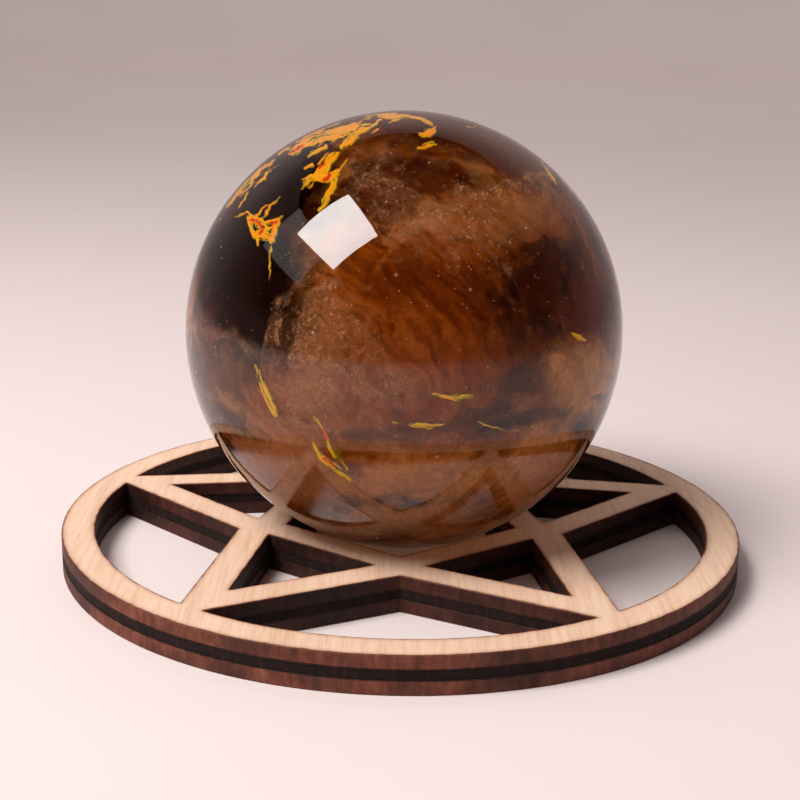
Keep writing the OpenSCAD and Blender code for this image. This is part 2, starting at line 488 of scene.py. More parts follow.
# ---- veils
# Hazy edges: (route, widths, the side on which the haze fades softly, strength)
VEIL_EDGES = [
    ([(0.27, 0.62), (0.38, 0.65), (0.46, 0.70), (0.54, 0.72), (0.64, 0.715)],
     [0.05, 0.16, 0.20, 0.08], -1, 0.80),
    ([(-0.10, 0.40), (0.02, 0.45), (0.12, 0.49), (0.22, 0.55), (0.28, 0.62)],
     [0.03, 0.09, 0.14, 0.08], 1, 0.75),
    ([(-0.34, 0.22), (-0.42, 0.15), (-0.46, 0.04), (-0.49, -0.04), (-0.50, -0.15), (-0.46, -0.26)],
     [0.06, 0.18, 0.24, 0.26, 0.20], 1, 0.55),
    ([(-0.34, 0.22), (-0.29, 0.16), (-0.22, 0.05), (-0.14, -0.04), (-0.06, -0.17)],
     [0.05, 0.12, 0.14, 0.10], -1, 0.40),
    ([(-0.39, 0.24), (-0.49, 0.20), (-0.57, 0.12), (-0.61, 0.02), (-0.63, -0.10), (-0.62, -0.20),
      (-0.54, -0.36)], [0.03, 0.08, 0.12, 0.12, 0.08], 1, 0.45),
    ([(0.30, 0.44), (0.41, 0.35), (0.46, 0.25), (0.49, 0.19)], [0.02, 0.04, 0.02], 1, 0.35),
    ([(0.15, 0.42), (0.23, 0.33), (0.25, 0.28)], [0.015, 0.04, 0.015], 1, 0.30),
    ([(-0.96, -0.28), (-0.72, -0.42), (-0.30, -0.47), (0.20, -0.50)], [0.04, 0.08, 0.10, 0.04], 1, 0.30),
    ([(-0.93, -0.02), (-0.80, -0.06), (-0.70, -0.12)], [0.03, 0.09, 0.05], 1, 0.30),
    ([(0.10, 0.80), (0.16, 0.76), (0.22, 0.79), (0.30, 0.75)], [0.02, 0.04, 0.02], -1, 0.25),
    ([(-0.562, 0.05), (-0.560, 0.00), (-0.565, -0.06)], [0.005, 0.01, 0.005], 1, 0.9),
    ([(-0.494, 0.02), (-0.488, -0.04), (-0.480, -0.10)], [0.01, 0.02, 0.01], 1, 0.6),
    ([(-0.303, -0.764), (-0.33, -0.81), (-0.364, -0.867)], [0.003, 0.005, 0.007], 1, 0.9),
]
# Soft clouds of dust: (place, half sizes, turn, strength)
VEIL_CLOUDS = [
    ((-0.12, 0.62), (0.26, 0.26), 70, 0.45),
    ((0.02, 0.50), (0.16, 0.08), 15, 0.40),
    ((-0.34, -0.04), (0.22, 0.28), 20, 0.60),
    ((-0.18, -0.24), (0.36, 0.12), -8, 0.55),
    ((-0.44, -0.30), (0.22, 0.14), -30, 0.55),
    ((-0.50, -0.64), (0.40, 0.22), -32, 0.28),
    ((0.05, -0.84), (0.60, 0.12), 5, 0.10),
    ((0.48, 0.56), (0.34, 0.15), 4, 0.45),
    ((0.22, 0.42), (0.34, 0.10), 14, 0.32),
    ((0.62, 0.60), (0.16, 0.12), -30, 0.35),
    ((0.84, -0.26), (0.16, 0.18), 0, 0.12),
    ((-0.86, -0.24), (0.16, 0.18), 0, 0.14),
    ((0.32, 0.76), (0.08, 0.07), 60, 0.25),
]
RIDGE_WIDTHS = [0.008, 0.016, 0.008]


def make_veils():
    directions, faces = shell_grid(VEIL_STEPS)
    drift = drifts(directions, 4, (13, 47, 71), 5, 0.6)
    warped = directions + 0.20 * drift
    x, y = FRONT.place(directions, VEIL_R)
    x = x + 0.030 * drift[:, 0]
    y = y + 0.030 * drift[:, 1]
    wisps = fractal(warped * 5, 5, 0.65)
    grain = smooth(-0.9, 0.9, fractal(directions * 75, 2, 0.7))
    invented = smooth(*BEYOND_FACE, np.hypot(x, y))
    cover = 0.35 * smooth(0.0, 0.9, fractal(warped * [1.6, 1.6, 3.0] + 33, 5, 0.6)) * invented
    crisp = np.zeros(len(x))
    for route, widths, soft_side, strength in VEIL_EDGES:
        near, side, _ = stroke(x, y, route, widths)
        fade = smooth(0, 1, near + 0.5 * wisps * (near > -0.5)) * smooth(-0.02, 0.01, side * soft_side)
        cover = 1 - (1 - cover) * (1 - strength * fade)
        line, _, run = stroke(x, y, route, RIDGE_WIDTHS)
        broken = smooth(-0.35, 0.35, noise(np.stack([run * 22, 0 * run, strength + 0 * run], 1)))
        crisp = np.maximum(crisp, strength * smooth(0, 0.8, line) * broken)
    for at, size, turn, strength in VEIL_CLOUDS:
        near = blob(x, y, at, size, turn) + 0.5 * wisps
        cover = 1 - (1 - cover) * (1 - strength * smooth(0, 0.9, near))
    cover = np.clip(1.25 * cover * (0.5 + 1.1 * grain) * (0.9 + 0.4 * wisps), 0, 0.95)
    crisp = np.clip(crisp * (0.35 + 0.9 * grain), 0, 0.8)
    shown = np.maximum(cover, crisp)[faces].max(1) > 0.015
    points, faces, cover, crisp = keep_faces(directions * VEIL_R, faces, shown, cover, crisp)
    veils = mesh_piece("dusty_veils", BALL_CENTRE + points, faces)
    paint(veils, "cover", cover)
    paint(veils, "ridge", crisp)
    m = Material("milky_glass_veils", Roughness=0.6, Specular_IOR_Level=0.0)
    speckle = m.noise(5500, detail=2, roughness=0.7)
    m.set("Base Color", m.ramp(speckle, [(0.3, srgb(164, 98, 56)), (0.7, srgb(222, 166, 120))]))
    curls = m.noise(1100, detail=6, roughness=0.62, distortion=1.4)
    haze = m.maths("MULTIPLY", m.attribute("cover", "Fac"), m.grey(curls, [(0.38, 0.25), (0.60, 1.0)]))
    cover = m.maths("ADD", haze, m.attribute("ridge", "Fac"), clamp=True)
    m.set("Alpha", m.maths("MULTIPLY", cover, m.grey(speckle, [(0.32, 0.45), (0.60, 1.0)])))
    veils.data.materials.append(m.material)
    return veils


# ---- flames
# Spacing of the grid that the flames are cut out of, and the rim that they keep inside, in ball radii
FLAME_STEP = 0.0028
FLAME_RIM = 0.99
# Half the thickness of a fleck at its edge, and how much it gains in its middle, in millimetres
FLECK_EDGE = 0.03
FLECK_SWELL = 0.22
# Colder than any glass that a stroke reaches
COLD = 9.0
# Fibres a ball radius, along a stroke and across it
FIBRES_ALONG = 9
FIBRES_ACROSS = 120
FLAME_RAMP = [
    (0.00, srgb(40, 50, 10)), (0.12, srgb(104, 104, 18)), (0.28, srgb(196, 168, 26)),
    (0.42, srgb(244, 176, 14)), (0.64, srgb(255, 158, 4)), (0.78, srgb(240, 96, 8)),
    (0.95, srgb(206, 46, 4))]
# The hottest streaks, red inside the flames of the front face: (route, width)
EMBERS = [
    ([(-0.705, 0.492), (-0.671, 0.485), (-0.651, 0.451), (-0.664, 0.430)], 0.011),
    ([(-0.612, 0.470), (-0.588, 0.486)], 0.010),
    ([(-0.374, 0.676), (-0.350, 0.696)], 0.012),
    ([(-0.395, 0.725), (-0.375, 0.752)], 0.006),
    ([(-0.53, 0.795), (-0.47, 0.828)], 0.006),
    ([(-0.368, -0.455), (-0.345, -0.505)], 0.008),
    ([(-0.355, -0.590), (-0.318, -0.618)], 0.008),
]


def streaks_along(route, count, spread, length, width, seed):
    """Short strokes scattered along a route and running with it."""
    random = np.random.default_rng(seed)
    route = np.asarray(route, float)
    knots = np.linspace(0, 1, len(route))
    strokes = []
    for middle, offset, reach, thick in zip(
            random.uniform(0, 1, count), random.normal(0, 1, count),
            random.uniform(0.5, 1.4, count), random.uniform(0.5, 1.3, count)):
        t = np.clip(middle + np.linspace(-0.5, 0.5, 4) * reach * length, 0, 1)
        line = np.stack([np.interp(t, knots, route[:, 0]), np.interp(t, knots, route[:, 1])], 1)
        inward = -unit(line.mean(0)) * spread * offset
        strokes.append((line + inward, [0.3 * width * thick, width * thick, 0.2 * width * thick]))
    return strokes


BAND_RIM = [(-0.82, 0.54), (-0.77, 0.61), (-0.71, 0.68), (-0.65, 0.735), (-0.58, 0.79), (-0.50, 0.84),
            (-0.42, 0.885), (-0.33, 0.92), (-0.24, 0.945), (-0.14, 0.965), (-0.04, 0.975)]
BAND_INNER = [(-0.46, 0.655), (-0.41, 0.69), (-0.37, 0.74), (-0.32, 0.80), (-0.26, 0.87), (-0.12, 0.95)]

# The strokes of each fleck on the front face and on those at the back: (route, widths)
BAND_FRONT = [
    ([(-0.822, 0.54), (-0.774, 0.605), (-0.712, 0.68), (-0.65, 0.735), (-0.60, 0.765)],
     [0.004, 0.014, 0.02, 0.012, 0.004]),
    ([(-0.583, 0.80), (-0.521, 0.84), (-0.453, 0.885), (-0.385, 0.922), (-0.30, 0.95)],
     [0.012, 0.024, 0.03, 0.022, 0.008]),
    ([(-0.56, 0.778), (-0.487, 0.815), (-0.398, 0.87), (-0.316, 0.89), (-0.248, 0.935)],
     [0.006, 0.016, 0.024, 0.03, 0.014]),
    ([(-0.30, 0.83), (-0.255, 0.874), (-0.214, 0.905), (-0.118, 0.952)],
     [0.012, 0.024, 0.022, 0.004]),
    ([(-0.132, 0.972), (-0.064, 0.968), (0.0, 0.972), (0.06, 0.962), (0.11, 0.94)],
     [0.006, 0.016, 0.012, 0.012, 0.006]),
    ([(-0.419, 0.69), (-0.391, 0.703), (-0.357, 0.758), (-0.316, 0.80)],
     [0.016, 0.024, 0.022, 0.012]),
    ([(-0.48, 0.64), (-0.43, 0.682), (-0.364, 0.686), (-0.318, 0.712)], [0.006, 0.018, 0.026, 0.016]),
    ([(-0.323, 0.69), (-0.34, 0.628), (-0.371, 0.574), (-0.398, 0.54)], [0.012, 0.018, 0.016, 0.008]),
    ([(-0.453, 0.785), (-0.412, 0.806), (-0.371, 0.826)], [0.006, 0.014, 0.012]),
    ([(-0.462, 0.731), (-0.432, 0.744)], [0.008, 0.012]),
    ([(-0.31, 0.724), (-0.275, 0.772)], [0.006, 0.004]),
    ([(0.117, 0.925), (0.105, 0.90), (0.07, 0.888)], [0.010, 0.018, 0.010]),
    ([(0.118, 0.905), (0.09, 0.897), (0.055, 0.893)], [0.012, 0.018, 0.008]),
    ([(0.118, 0.85), (0.085, 0.838), (0.05, 0.828)], [0.012, 0.016, 0.006]),
    ([(0.27, 0.932), (0.31, 0.935)], [0.004, 0.005]),
    *streaks_along(BAND_RIM, 46, 0.030, 0.13, 0.008, 3),
    *streaks_along(BAND_INNER, 16, 0.034, 0.22, 0.006, 5),
]
BAND_BACK = [
    *streaks_along([(-0.55, 0.62), (-0.30, 0.72), (0.0, 0.70), (0.32, 0.60), (0.50, 0.40)],
                   30, 0.05, 0.16, 0.016, 8),
    *streaks_along([(0.40, 0.10), (0.28, -0.16), (0.20, -0.40)], 7, 0.04, 0.3, 0.014, 9),
]
STAR_FRONT = [
    ([(-0.712, 0.505), (-0.704, 0.46), (-0.688, 0.42)], [0.016, 0.020, 0.012]),
    ([(-0.70, 0.495), (-0.665, 0.483), (-0.645, 0.455)], [0.018, 0.024, 0.024]),
    ([(-0.64, 0.462), (-0.60, 0.480), (-0.568, 0.505)], [0.022, 0.022, 0.014]),
    ([(-0.672, 0.435), (-0.64, 0.425), (-0.608, 0.41)], [0.024, 0.026, 0.012]),
    ([(-0.598, 0.47), (-0.600, 0.43), (-0.616, 0.39)], [0.016, 0.012, 0.006]),
    ([(-0.676, 0.41), (-0.672, 0.372)], [0.014, 0.003]),
    ([(-0.787, 0.499), (-0.726, 0.533), (-0.70, 0.51)], [0.003, 0.006, 0.010]),
    ([(-0.65, 0.50), (-0.617, 0.56), (-0.576, 0.60)], [0.009, 0.006, 0.003]),
    ([(-0.68, 0.51), (-0.66, 0.545), (-0.63, 0.56)], [0.008, 0.005, 0.003]),
]
TAILS_FRONT = [
    ([(-0.614, 0.37), (-0.618, 0.34), (-0.617, 0.28), (-0.620, 0.22)],
     [0.006, 0.004, 0.004, 0.003]),
    ([(-0.672, -0.17), (-0.662, -0.23), (-0.64, -0.28), (-0.62, -0.32), (-0.58, -0.40)],
     [0.006, 0.012, 0.014, 0.018, 0.010]),
    ([(-0.433, -0.373), (-0.379, -0.43), (-0.339, -0.50), (-0.299, -0.574), (-0.25, -0.64)],
     [0.005, 0.012, 0.018, 0.016, 0.006]),
    ([(-0.41, -0.52), (-0.366, -0.587), (-0.299, -0.641), (-0.235, -0.69)],
     [0.005, 0.014, 0.016, 0.006]),
]
TAILS_BACK = [
    ([(0.30, 0.42), (0.34, 0.28), (0.30, 0.10), (0.22, -0.05)], [0.005, 0.02, 0.024, 0.006]),
    ([(-0.10, -0.32), (0.02, -0.42), (0.16, -0.46)], [0.005, 0.018, 0.005]),
    *streaks_along([(-0.45, 0.55), (-0.20, 0.66), (0.10, 0.68)], 10, 0.05, 0.25, 0.014, 12),
]
THREADS_FRONT = [
    ([(0.13, -0.286), (0.19, -0.295), (0.25, -0.306), (0.318, -0.292)], [0.004, 0.010, 0.016, 0.010]),
    ([(-0.05, -0.418), (0.05, -0.433), (0.12, -0.436), (0.19, -0.426)], [0.004, 0.009, 0.010, 0.004]),
    ([(0.29, -0.386), (0.398, -0.43), (0.505, -0.45), (0.60, -0.425)], [0.003, 0.006, 0.006, 0.003]),
    ([(0.77, 0.0), (0.80, -0.01), (0.83, -0.03)], [0.006, 0.014, 0.006]),
]


def flame_heat(face, x, y, strokes, hottest):
    """How hot the flame is at each place. It glows above 0, and fibres run along each stroke."""
    heat = np.full(np.shape(x), -COLD)
    waver = 0.006 * fractal(np.stack([x * 26, y * 26, 0 * x], 1), 3)
    for k, (route, widths) in enumerate(strokes):
        near, side, run = stroke(x + waver, y - waver, route, np.asarray(widths) * 1.15)
        close = near > -0.6
        fibre = np.full(len(x), -1.0)
        at = np.stack([run * FIBRES_ALONG, side * FIBRES_ACROSS, np.full(len(x), 7.7 * k)], 1)
        fibre[close] = fractal(at[close], 3, 0.6)
        heat = np.maximum(heat, np.where(close, np.minimum(near, 0.6) + 0.75 * fibre, -COLD))
    heat = np.minimum(heat - 0.14, hottest)
    if face is FRONT:
        for route, width in EMBERS:
            near, _, _ = stroke(x + waver, y - waver, route, [width, width])
            heat = np.where(heat > 0.1, np.maximum(heat, 0.6 + 0.5 * near), heat)
    return heat


def flame_patch(face, strokes, hottest):
    """A thin closed body on the flame shell wherever the strokes glow, with its heat at each vertex."""
    margin = 0.04
    ends = np.concatenate([np.asarray(route) for route, _ in strokes])
    low, high = ends.min(0) - margin, ends.max(0) + margin
    gx = np.arange(low[0], high[0], FLAME_STEP)
    gy = np.arange(low[1], high[1], FLAME_STEP)
    x, y = (g.ravel() for g in np.meshgrid(gx, gy, indexing="ij"))
    heat = flame_heat(face, x, y, strokes, hottest)
    heat[np.hypot(x, y) > FLAME_RIM] = -COLD
    quads = grid_quads(len(gx), len(gy))
    places, quads, heat = keep_faces(np.column_stack([x, y]), quads, (heat > 0)[quads].all(1), heat)
    x, y = places.T
    half = (FLECK_EDGE + FLECK_SWELL * smooth(0, 0.7, heat)) * MM
    at = face.direction(x, y, FLAME_R)
    outer = BALL_CENTRE + at * (FLAME_R + half)[:, None]
    inner = BALL_CENTRE + at * (FLAME_R - half)[:, None]
    count = len(x)
    edges = np.concatenate([quads[:, [k, (k + 1) % 4]] for k in range(4)])
    key = np.sort(edges, 1)
    _, first, times = np.unique(key, axis=0, return_index=True, return_counts=True)
    rim = edges[first[times == 1]]
    walls = np.stack([rim[:, 1], rim[:, 0], rim[:, 0] + count, rim[:, 1] + count], 1)
    faces = np.concatenate([quads, quads[:, ::-1] + count, walls])
    return np.concatenate([outer, inner]), faces, np.tile(heat, 2)


def make_flame(name, groups, hottest, material):
    """All the flecks of one kind: groups pairs each face with its strokes."""
    vertices, faces, heat = [], [], []
    count = 0
    for face, strokes in groups:
        v, f, h = flame_patch(face, strokes, hottest)
        vertices.append(v)
        faces.append(f + count)
        heat.append(h)
        count += len(v)
    piece = mesh_piece(name + "_flecks", np.concatenate(vertices), np.concatenate(faces))
    paint(piece, "glow", np.clip(np.concatenate(heat), 0, 1))
    piece.data.materials.append(material)
    return piece


def make_flame_material():
    m = Material("flame_fleck_glass", Roughness=0.4, Specular_IOR_Level=0.1)
    heat = m.attribute("glow", "Fac")
    shimmer = m.maths("MULTIPLY", m.maths("SUBTRACT", m.noise(1600, detail=3), 0.5), 0.35)
    heat = m.maths("ADD", heat, shimmer, clamp=True)
    tone = m.ramp(heat, FLAME_RAMP)
    m.set("Base Color", tone)
    # Painted glow: the flecks give off a little light in their own colour, though they are no lamp.
    m.set("Emission Color", tone)
    m.shader.inputs["Emission Strength"].default_value = 0.22
    return m.material


# ---- glass
GLASS_WAVE = 0.003 * MM


def make_glass():
    directions, faces = shell_grid(GLASS_STEPS)
    waviness = GLASS_WAVE * noise(directions * 4)
    glass = mesh_piece("glass_ball", BALL_CENTRE + directions * (BALL_R + waviness)[:, None], faces)
    m = Material("amber_clear_glass", Roughness=0.0, IOR=GLASS_IOR)
    m.shader.inputs["Transmission Weight"].default_value = 1.0
    m.shader.inputs["Base Color"].default_value = (1, 0.98, 0.95, 1)
    haze = m.node("VolumeAbsorption", {"Color": (0.90, 0.60, 0.25, 1), "Density": 28.0})
    m.links.new(haze.outputs["Volume"], m.output.inputs["Volume"])
    glass.data.materials.append(m.material)
    return glass


# Dust grains: how many at most, their half sizes and their distances from the centre in millimetres, and
# the share of them that are three times as large
SPECK_COUNT = 1400
SPECK_SIZES = (0.03, 0.09)
SPECK_SHELL = (22.5, 29)
LARGE_SPECKS = 0.03
# Where they gather on the front face: (place, half sizes)
SPECK_CLOUDS = [((-0.15, 0.6), (0.34, 0.34)), ((-0.4, -0.1), (0.3, 0.45)), ((0.55, 0.25), (0.25, 0.3))]


def make_specks():
    """Dust and tiny bubbles that hang in the clear glass, each a little eight-sided grain."""
    random = np.random.default_rng(21)
    away = unit(random.normal(size=(SPECK_COUNT * 4, 3)))
    x, y = FRONT.place(away, VEIL_R)
    likely = 0.12 + 0.6 * smooth(-0.2, 0.4, fractal(away * 3 + 4, 3))
    for at, size in SPECK_CLOUDS:
        likely = np.maximum(likely, smooth(0, 0.5, blob(x, y, at, size)))
    away = away[random.random(len(away)) < likely][:SPECK_COUNT]
    middle = away * random.uniform(*SPECK_SHELL, len(away))[:, None] * MM
    size = random.uniform(*SPECK_SIZES, len(away)) * MM
    size *= 1 + 2 * (random.random(len(away)) > 1 - LARGE_SPECKS)
    tips = np.array([[1, 0, 0], [-1, 0, 0], [0, 1, 0], [0, -1, 0], [0, 0, 1], [0, 0, -1]])
    sides = np.array([[0, 2, 4], [2, 1, 4], [1, 3, 4], [3, 0, 4], [2, 0, 5], [1, 2, 5], [3, 1, 5], [0, 3, 5]])
    vertices = (middle[:, None] + size[:, None, None] * tips).reshape(-1, 3) + BALL_CENTRE
    faces = (np.arange(len(away))[:, None, None] * len(tips) + sides).reshape(-1, 3)
    specks = mesh_piece("dust_specks", vertices, faces, False)
    m = Material("speck_glass", Roughness=0.4)
    m.set("Base Color", m.ramp(m.noise(900), [(0.35, srgb(170, 130, 100)), (0.65, srgb(250, 235, 215))]))
    specks.data.materials.append(m.material)
    return specks


# ---- the plywood stand, in millimetres
RING_R = 47.5
RING_W = 4.6
STAR_TIP_R = 46.7
STAR_NOTCH_R = 23.7
BAR_W = 4.8
SEAT_APOTHEM = 13.5
POINTS = 5
POINT_STEP = 2 * math.pi / POINTS
NOTCH = (STAR_NOTCH_R * math.cos(POINT_STEP / 2), STAR_NOTCH_R * math.sin(POINT_STEP / 2))
POINT_HALF_ANGLE = math.atan2(NOTCH[1], STAR_TIP_R - NOTCH[0])
WINDOW_TIP_R = STAR_TIP_R - BAR_W / math.sin(POINT_HALF_ANGLE)
WINDOW_BASE_R = SEAT_APOTHEM + BAR_W
WINDOW_HALF_BASE = (WINDOW_TIP_R - WINDOW_BASE_R) * math.tan(POINT_HALF_ANGLE)
# Spacing of the points along a cut and over a face, and how far the row beside each bevel is set in from it
OUTLINE_STEP = 0.3
FACE_STEP = 0.42
ROW_INSET = 0.16
BEVEL = 0.12
# How far the laser's ripple moves a wall in and out
RIPPLE = 0.025
# What the attribute "edge" holds on the outer wall and on the walls of the holes
OUTER_WALL = -1.0
INNER_WALL = -2.0


def polar(radius, angle):
    return np.array([radius * math.cos(angle), radius * math.sin(angle)])


def straight(a, b):
    """Points from a up to, but not including, b."""
    count = max(2, round(np.linalg.norm(b - a) / OUTLINE_STEP))
    return [a + (b - a) * i / count for i in range(count)]


def arc(radius, start, end):
    count = max(2, round(abs(end - start) * radius / OUTLINE_STEP))
    return [polar(radius, start + (end - start) * i / count) for i in range(count)]


def closed(corners):
    return np.array([p for a, b in zip(corners, corners[1:] + corners[:1]) for p in straight(a, b)])


def stand_loops():
    """The outer circle first, then every hole: ring gaps, star windows and the seat."""
    inner_r = RING_R - RING_W
    loops = [np.array(arc(RING_R, 0, 2 * math.pi))]
    edge = np.array([math.cos(POINT_HALF_ANGLE), math.sin(POINT_HALF_ANGLE)])
    reach = STAR_TIP_R * edge[0] - math.sqrt(inner_r ** 2 - (STAR_TIP_R * edge[1]) ** 2)
    meet = np.array([STAR_TIP_R, 0]) - reach * np.array([edge[0], -edge[1]])
    meet_angle = math.atan2(meet[1], meet[0])
    for i in range(POINTS):
        point = math.pi / 2 + i * POINT_STEP
        start, end = point + meet_angle, point + POINT_STEP - meet_angle
        notch = polar(STAR_NOTCH_R, point + POINT_STEP / 2)
        sides = straight(polar(inner_r, end), notch) + straight(notch, polar(inner_r, start))
        loops.append(np.array(arc(inner_r, start, end) + sides))
        along, across = polar(1, point), polar(1, point + math.pi / 2)
        loops.append(closed([WINDOW_TIP_R * along, WINDOW_BASE_R * along + WINDOW_HALF_BASE * across,
                             WINDOW_BASE_R * along - WINDOW_HALF_BASE * across]))
    corner_r = SEAT_APOTHEM / math.cos(POINT_STEP / 2)
    loops.append(closed([polar(corner_r, math.pi / 2 + (i + 0.5) * POINT_STEP) for i in range(POINTS)]))
    return loops


def inside(points, loops):
    """True where a point is within the wood: an odd number of outlines lie on its right."""
    odd = np.zeros(len(points), bool)
    for loop in loops:
        a, b = loop, np.roll(loop, -1, 0)
        for (ax, ay), (bx, by) in zip(a, b):
            if ay == by:
                continue
            crosses = (ay > points[:, 1]) != (by > points[:, 1])
            odd ^= crosses & (points[:, 0] < (bx - ax) * (points[:, 1] - ay) / (by - ay) + ax)
    return odd


def edge_distance(points, loops):
    """How far each point is from the nearest outline, taken a few of its points at a time to save memory."""
    at_once = 64
    nearest = np.full(len(points), FAR)
    for loop in loops:
        for start in range(0, len(loop), at_once):
            part = loop[start:start + at_once]
            gap = points[:, None] - part[None]
            nearest = np.minimum(nearest, np.sqrt((gap ** 2).sum(2)).min(1))
    return nearest


def anticlockwise(loop):
    return np.sum(loop[:, 0] * np.roll(loop[:, 1], -1) - np.roll(loop[:, 0], -1) * loop[:, 1]) > 0


def inset(loop, amount, solid_inside):
    """Moves an outline into the wood by an amount."""
    along = np.roll(loop, -1, 0) - np.roll(loop, 1, 0)
    normal = unit(np.stack([-along[:, 1], along[:, 0]], 1))
    return loop + normal * amount * (1 if anticlockwise(loop) == solid_inside else -1)


LOOPS = stand_loops()


def face_plan():
    """The flat plan of a veneer's face: its points and triangles, the number that each point had when they
    were handed in, outlines first, and each point's distance from the nearest cut."""
    loops = [inset(loop, BEVEL, k == 0) for k, loop in enumerate(LOOPS)]
    line = np.arange(-RING_R, RING_R, FACE_STEP)
    gx, gy = np.meshgrid(line, line)
    gx = gx + (np.arange(len(line)) % 2 * FACE_STEP / 2)[:, None]
    grid = np.stack([gx.ravel(), gy.ravel()], 1)
    grid = grid[inside(grid, LOOPS)]
    grid = grid[edge_distance(grid, LOOPS) > BEVEL + 0.55 * FACE_STEP]
    rows = [inset(loop, BEVEL + ROW_INSET, k == 0) for k, loop in enumerate(LOOPS)]
    points = np.concatenate(loops + rows + [grid])
    edges, start = [], 0
    for loop in loops:
        n = len(loop)
        edges += [(start + i, start + (i + 1) % n) for i in range(n)]
        start += n
    flat, _, triangles, origin, _, _ = delaunay_2d_cdt([Vector(p) for p in points], edges, [], 0, 1e-5)
    flat = np.array([tuple(p) for p in flat])
    triangles = np.array([tuple(t) for t in triangles])
    triangles = triangles[inside(flat[triangles].mean(1), loops)]
    source = np.array([o[0] if o else -1 for o in origin])
    return flat, triangles, source, edge_distance(flat, LOOPS)


PLAN = face_plan()


def veneer_mesh(name, low, high, recess):
    """One layer of wood: bevelled faces above and below, and walls with the laser's fine upright ripple."""
    flat, triangles, source, distance = PLAN
    count = len(flat)
    vertices = [np.column_stack([flat, np.full(count, height)]) for height in (high, low)]
    faces = [triangles, triangles[:, ::-1] + count]
    edge = [distance, distance]
    total, first = 2 * count, 0
    to_flat = {s: i for i, s in enumerate(source) if s >= 0}
    levels = [low + BEVEL, mix(low, high, 0.35), mix(low, high, 0.65), high - BEVEL]
    for k, loop in enumerate(LOOPS):
        n = len(loop)
        ring = np.array([to_flat[first + i] for i in range(n)])
        rows = [ring + count]
        for level in levels:
            at = np.column_stack([loop, np.full(n, level)])
            ripple = RIPPLE * noise(at * [2.2, 2.2, 0.25]) + recess
            at[:, :2] = inset(loop, 1, k == 0) * ripple[:, None] + loop * (1 - ripple[:, None])
            vertices.append(at)
            edge.append(np.full(n, OUTER_WALL if k == 0 else INNER_WALL))
            rows.append(total + np.arange(n))
            total += n
        rows.append(ring)
        outward = anticlockwise(loop) == (k == 0)
        for a, b in zip(rows, rows[1:]):
            walls = np.stack([a, np.roll(a, -1), np.roll(b, -1), b], 1)
            faces.append(walls if outward else walls[:, ::-1])
        first += n
    points = np.concatenate(vertices) * MM
    piece = mesh_piece(name, points, [tuple(f) for block in faces for f in block], False)
    paint(piece, "edge", np.concatenate(edge))
    return piece


def make_face_wood():
    """Pale peach basswood with fine grain, scorched along the cuts and charred on the cut walls."""
    m = Material("face_veneer_wood", Roughness=0.62, Specular_IOR_Level=0.3)
    edge = m.attribute("edge", "Fac")
    grain = m.noise(2300, m.place((1, 0.045, 1)), detail=6, roughness=0.6)
    figure = m.noise(260, m.place((1, 0.10, 1)), detail=4, distortion=0.8)
    wood = m.ramp(figure, [
        (0.30, srgb(222, 186, 158)), (0.55, srgb(232, 200, 174)), (0.75, srgb(226, 190, 162))])
    wood = m.blend("MULTIPLY", 0.3, wood, m.ramp(grain, [(0.32, srgb(205, 170, 140)), (0.55, (1, 1, 1))]))
    pores = m.noise(5200, m.place((1, 0.03, 1)), detail=2)
    wood = m.blend("MULTIPLY", 0.22, wood, m.ramp(pores, [(0.24, srgb(150, 110, 84)), (0.36, (1, 1, 1))]))
    wander = m.maths("MULTIPLY", m.maths("SUBTRACT", m.noise(420, detail=4), 0.5), 0.5)
    reach = m.maths("ADD", edge, wander)
    wood = m.blend("MIX", m.grey(reach, [(0.15, 0.85), (0.45, 0.26), (1.0, 0.0)]), wood, srgb(150, 92, 54))
    wood = m.blend("MIX", m.grey(reach, [(0.10, 1.0), (0.26, 0.0)]), wood, srgb(84, 42, 24))
    scars = m.noise(1100, m.place((1, 1, 0.35)), detail=6, roughness=0.6)
    char = m.ramp(scars, [(0.28, srgb(84, 42, 30)), (0.5, srgb(116, 62, 46)), (0.72, srgb(142, 82, 60))])
    soot = m.noise(75, detail=4, roughness=0.6)
    char = m.blend("MULTIPLY", 0.9, char, m.grey(soot, [(0.40, 0.30), (0.60, 1.0)]))
    inner_wall = m.maths("LESS_THAN", edge, (OUTER_WALL + INNER_WALL) / 2)
    char = m.blend("MULTIPLY", inner_wall, char, srgb(160, 150, 150))
    on_wall = m.maths("LESS_THAN", edge, -0.2)
    tone = m.blend("MIX", on_wall, wood, char)
    m.set("Base Color", tone)
    height = m.maths("ADD", grain, m.maths("MULTIPLY", scars, on_wall))
    m.set("Normal", m.bump(height, 0.25, 0.0002))
    return m.material


def make_core_wood():
    """The middle ply, burnt nearly black where the laser went through."""
    m = Material("core_veneer_wood", Roughness=0.8, Specular_IOR_Level=0.2)
    scars = m.noise(1100, m.place((1, 1, 0.35)), detail=6, roughness=0.6)
    tone = m.ramp(scars, [(0.3, srgb(22, 12, 12)), (0.58, srgb(36, 22, 20)), (0.8, srgb(58, 36, 30))])
    m.set("Base Color", tone)
    m.set("Normal", m.bump(scars, 0.5, 0.0002))
    return m.material


def make_glue():
    m = Material("glue_film", Roughness=0.5)
    beads = m.noise(1200, detail=4)
    m.set("Base Color", m.ramp(beads, [(0.35, srgb(18, 10, 8)), (0.65, srgb(72, 42, 28))]))
    m.set("Normal", m.bump(beads, 0.4, 0.0001))
    return m.material


